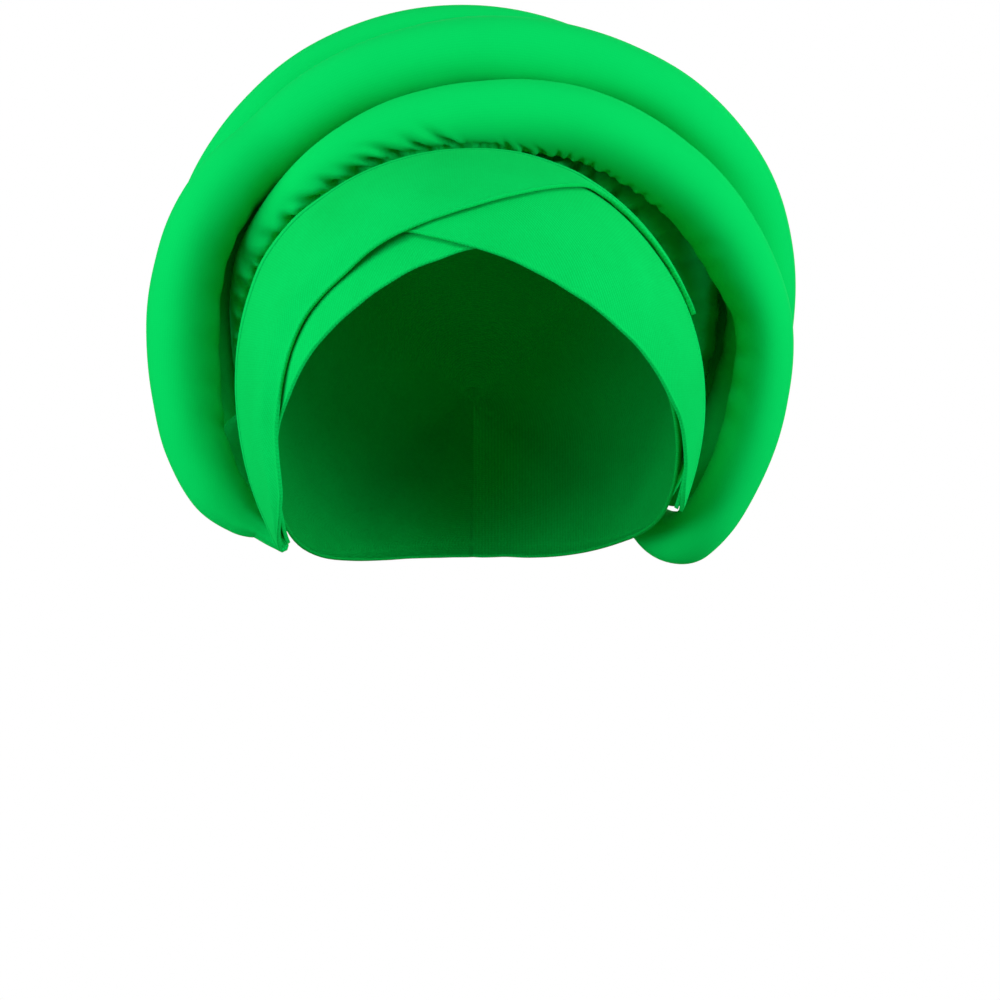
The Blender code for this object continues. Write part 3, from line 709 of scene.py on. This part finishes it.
def makeBag():
    s = bagShape
    turns = -90 + 360 * np.arange(s["columns"]) / s["columns"]
    columns = []
    for turn in turns:
        wound = bagProfile(turn)
        below = napeProfile(turn, len(wound) - 1)
        away = 180 - abs((turn + 90) % 360 - 180)
        share = ease((away - s["napeHalfTurn"]) / s["napeBlend"])
        columns.append(below + (wound - below) * share)
    columns = np.array(columns)  # turn, ring, (reach, back)
    for _ in range(s["smoothings"]):  # where one profile takes over from another
        columns = 0.5 * columns + 0.25 * (np.roll(columns, 1, 0) + np.roll(columns, -1, 0))
    rows = columns.shape[1] - 1
    stations = np.linspace(0, rows, s["rings"] + 1)
    fine = np.array([throughPoints(c, stations) for c in columns])  # turn, ring, (reach, back)
    reach, back = fine[..., 0], fine[..., 1]
    ring = np.broadcast_to(stations, reach.shape)
    draw = np.random.default_rng(s["pleatSeed"])
    pleats, span, at = [], 360 / s["pleats"], turns[0]
    while at < turns[0] + 360:
        pleats.append((at, span * draw.uniform(*s["pleatWidth"]), draw.uniform(0.6, 1.0),
                       draw.uniform(-0.4, 0.4)))
        at += span * draw.uniform(0.75, 1.25)
    behind = ease((ring - 8.0) / 2.0)
    deep = s["pleatDepth"] * (1 - behind) + s["domeFolds"] * behind
    turns = turns[:, None]
    depth, notch = np.zeros(reach.shape), np.zeros(reach.shape)
    for place, width, strength, lean in pleats:
        off = (turns - place - lean * ring + 180) % 360 - 180
        depth += strength * bump(off, 0, width * (1 + s["pleatSpread"] * behind)) * deep
        # on the floor between the bands and the rolls they are notches, widest at the rim
        off = (turns - place - s["notchLean"] * lean * ring + 180) % 360 - 180
        breadth = width * np.maximum(2.3 - 0.5 * ring, 0.3)
        notch += strength * np.clip(1 - abs(off) / breadth, 0, 1)
    notch = notch * ease(ring / 0.9) * (1 - ease((ring - 2.4) / 1.8)) * s["notchDepth"]
    back = back + notch * ease((turns + 40) / 15) * (1 - ease((turns - 90) / 25))
    fade = ease(ring / 0.8) * (1 - 0.55 * ease((ring - 2.5) / 2.5))
    fade = fade * (1 - ease((ring - 10.5) / 3.6))
    reach = reach - depth * fade * (1 - s["calm"] * bump(turns, s["calmTurn"], s["calmWidth"]))
    reach = np.maximum(reach, np.where(ring < rows - 0.3, s["middleHole"], 0.0))
    floor = headReach(np.broadcast_to(turns, back.shape), back, s["pad"])
    reach = np.maximum(reach, floor * (ring < rows - 0.01))
    a = np.radians(turns)
    outer = np.stack([reach * np.cos(a), back, ringCentreZ + reach * np.sin(a)], -1)
    outer = outer.transpose(1, 0, 2)  # ring, turn
    outward = outer - np.array((0.0, 0.0, -head["height"]))
    outward /= np.linalg.norm(outward, axis=-1)[..., None]
    inner = outer - outward * clothThickness
    return makeBowl("gatheredBag", outer, inner, "gathered_bag", bagMaterial)


def makeBowl(name, outer, inner, node, material):
    # rings of points from the open edge to a last ring that is a single point
    rings, around = outer.shape[0] - 1, outer.shape[1]
    points, faces, weave = [], [], []
    u = arcLengths(outer, 1)
    v = arcLengths(outer, 0)
    for skin in (outer, inner):
        start = sum(len(p) for p in points)
        points += [skin[:-1].reshape(-1, 3), skin[-1][:1]]
        weave += [np.stack([u[:-1], v[:-1]], -1).reshape(-1, 2), np.array([[0.0, v[-1, 0]]])]
        faces += gridFaces(rings, around, closedColumns=True, start=start)
        tip = start + rings * around
        edge = start + (rings - 1) * around
        faces += [(edge + j, edge + (j + 1) % around, tip) for j in range(around)]
    second = rings * around + 1
    faces += [(j, (j + 1) % around, second + (j + 1) % around, second + j) for j in range(around)]
    piece = makePiece(name, np.concatenate(points), faces, np.concatenate(weave), node)
    piece.data.materials.append(material)
    return piece


bag = makeBag()
print("bag made")

# The fitted cap.

capShape = {
    "columns": 240,
    "rings": 56,
    "crowding": 1.25,  # rings lie closer together near the edge
    "pole": -90.0,  # the rings meet this many degrees ahead of the crown, so behind it
    "alongDegree": 1.5,  # mm of cloth for a degree
    "hem": 0.5,
    "hemWidth": 5.0,
}
capEdge = {  # by turn, how many degrees ahead of the crown its edge lies
    "turn": (-90, -80, -70, -62, -54, -45, -37, -29, -10, 10, 45, 90, 135, 170, 190, 205, 212,
             219, 226, 233, 241, 249, 257, 264, 270),
    "forward": (-51, -50.2, -47.2, -43.5, -38.3, -29.5, -16, 1, 24, 39, 51, 51, 51, 40, 29,
                17, 7, -6, -20.5, -32.5, -41.2, -46.5, -49.3, -50.6, -51),
}


def makeCap():
    s = capShape
    turn = (-90 + 360 * np.arange(s["columns"]) / s["columns"])[None]
    edge = readCurve(capEdge, "turn", "forward", turn)
    share = (np.arange(s["rings"] + 1) / s["rings"])[:, None] ** s["crowding"]
    forward = edge + (s["pole"] - edge) * share
    fromEdge = (edge - forward) * s["alongDegree"]
    hem = s["hem"] * (bump(fromEdge, 0.6, 1.2) - 0.8 * bump(fromEdge, s["hemWidth"], 0.7))
    outer = onHead(turn, forward, clothThickness)
    inner = onHead(turn, forward, -hem * 0.5 + 0.1)
    return makeBowl("fittedCap", outer, inner, "fitted_cap", liningMaterial)


cap = makeCap()
print("cap made")


# Studio, lights and camera.

camera = {"x": 9.9, "y": -1800.0, "z": -117.0, "lens": 182.5}
studio = {
    "floorZ": -620.0,
    "radius": 3600.0,
    "bend": 900.0,  # radius of the curve from floor to wall
    "wallTop": 2600.0,
    "around": 96,
    "floorColour": "#FFFFFF",
}


def makeStudio():  # a round white sweep, so every side has the same plain pale ground
    bend, around = studio["bend"], studio["around"]
    flat = studio["radius"] - bend
    profile = [(0.0, 0.0), (flat, 0.0)]
    profile += [(flat + bend * math.sin(a), bend - bend * math.cos(a))
                for a in np.linspace(0.1, math.pi / 2, 14)]
    profile += [(studio["radius"], studio["wallTop"])]
    points = []
    for r, h in profile:
        points += [(r * math.cos(2 * math.pi * j / around), r * math.sin(2 * math.pi * j / around),
                    studio["floorZ"] + h) for j in range(around)]
    mesh = bpy.data.meshes.new("studioSweep")
    mesh.from_pydata((np.array(points) * millimetre).tolist(), [],
                     gridFaces(len(profile), around, closedColumns=True))
    mesh.shade_smooth()
    sweep = bpy.data.objects.new("studioSweep", mesh)
    bpy.context.scene.collection.objects.link(sweep)
    paper = bpy.data.materials.new("lit_white_paper")  # so brightly lit that it is plain white
    paper.use_nodes = True
    paper.node_tree.nodes.clear()
    glow = addNode(paper.node_tree, "ShaderNodeEmission",
                   {"Color": linearColour(studio["floorColour"])})
    out = addNode(paper.node_tree, "ShaderNodeOutputMaterial")
    paper.node_tree.links.new(glow.outputs[0], out.inputs[0])
    mesh.materials.append(paper)
    sweep.visible_diffuse = sweep.visible_glossy = False  # the lamps alone light the cloth
    sweep.visible_shadow = False


lamps = {  # place and size in mm, power in watts
    "topLamp": {"place": (0, -800, 1500), "size": 1000, "power": 11},
    "leftLamp": {"place": (-1500, -450, 0), "size": 1300, "power": 15},
    "rightLamp": {"place": (1500, -450, 0), "size": 1300, "power": 19},
    "leftFrontLamp": {"place": (-1200, -1300, 0), "size": 900, "power": 9},
    "rightFrontLamp": {"place": (1200, -1300, 0), "size": 900, "power": 4},
    "backTopLamp": {"place": (0, 500, 1700), "size": 1000, "power": 4},
    "backLamp": {"place": (300, 1900, 500), "size": 1200, "power": 10},
}
ambient = {"colour": "#8CF0A0", "strength": 0.34}  # what the room and the green cloth send back


def addLamp(name, lamp, aim=(0, 0, -60)):
    light = bpy.data.lights.new(name, "AREA")
    light.shape = "DISK"
    light.size = lamp["size"] * millimetre
    light.energy = lamp["power"]
    item = bpy.data.objects.new(name, light)
    item.location = Vector(lamp["place"]) * millimetre
    item.rotation_mode = "QUATERNION"
    item.rotation_quaternion = (Vector(aim) - Vector(lamp["place"])).to_track_quat("-Z", "Y")
    item.visible_camera = False
    bpy.context.scene.collection.objects.link(item)


makeStudio()
for name, lamp in lamps.items():
    addLamp(name, lamp)
world = bpy.data.worlds.new("whiteRoom")
world.use_nodes = True
world.node_tree.nodes["Background"].inputs["Color"].default_value = linearColour(ambient["colour"])
world.node_tree.nodes["Background"].inputs["Strength"].default_value = ambient["strength"]
bpy.context.scene.world = world

lens = bpy.data.cameras.new("photoCamera")
lens.sensor_width = 36.0
lens.lens = camera["lens"]
viewer = bpy.data.objects.new("photoCamera", lens)
viewer.location = Vector((camera["x"], camera["y"], camera["z"])) * millimetre
viewer.rotation_euler = (math.radians(90), 0, 0)
bpy.context.scene.collection.objects.link(viewer)
bpy.context.scene.camera = viewer
bpy.context.scene.view_settings.view_transform = "Standard"
print("studio made")
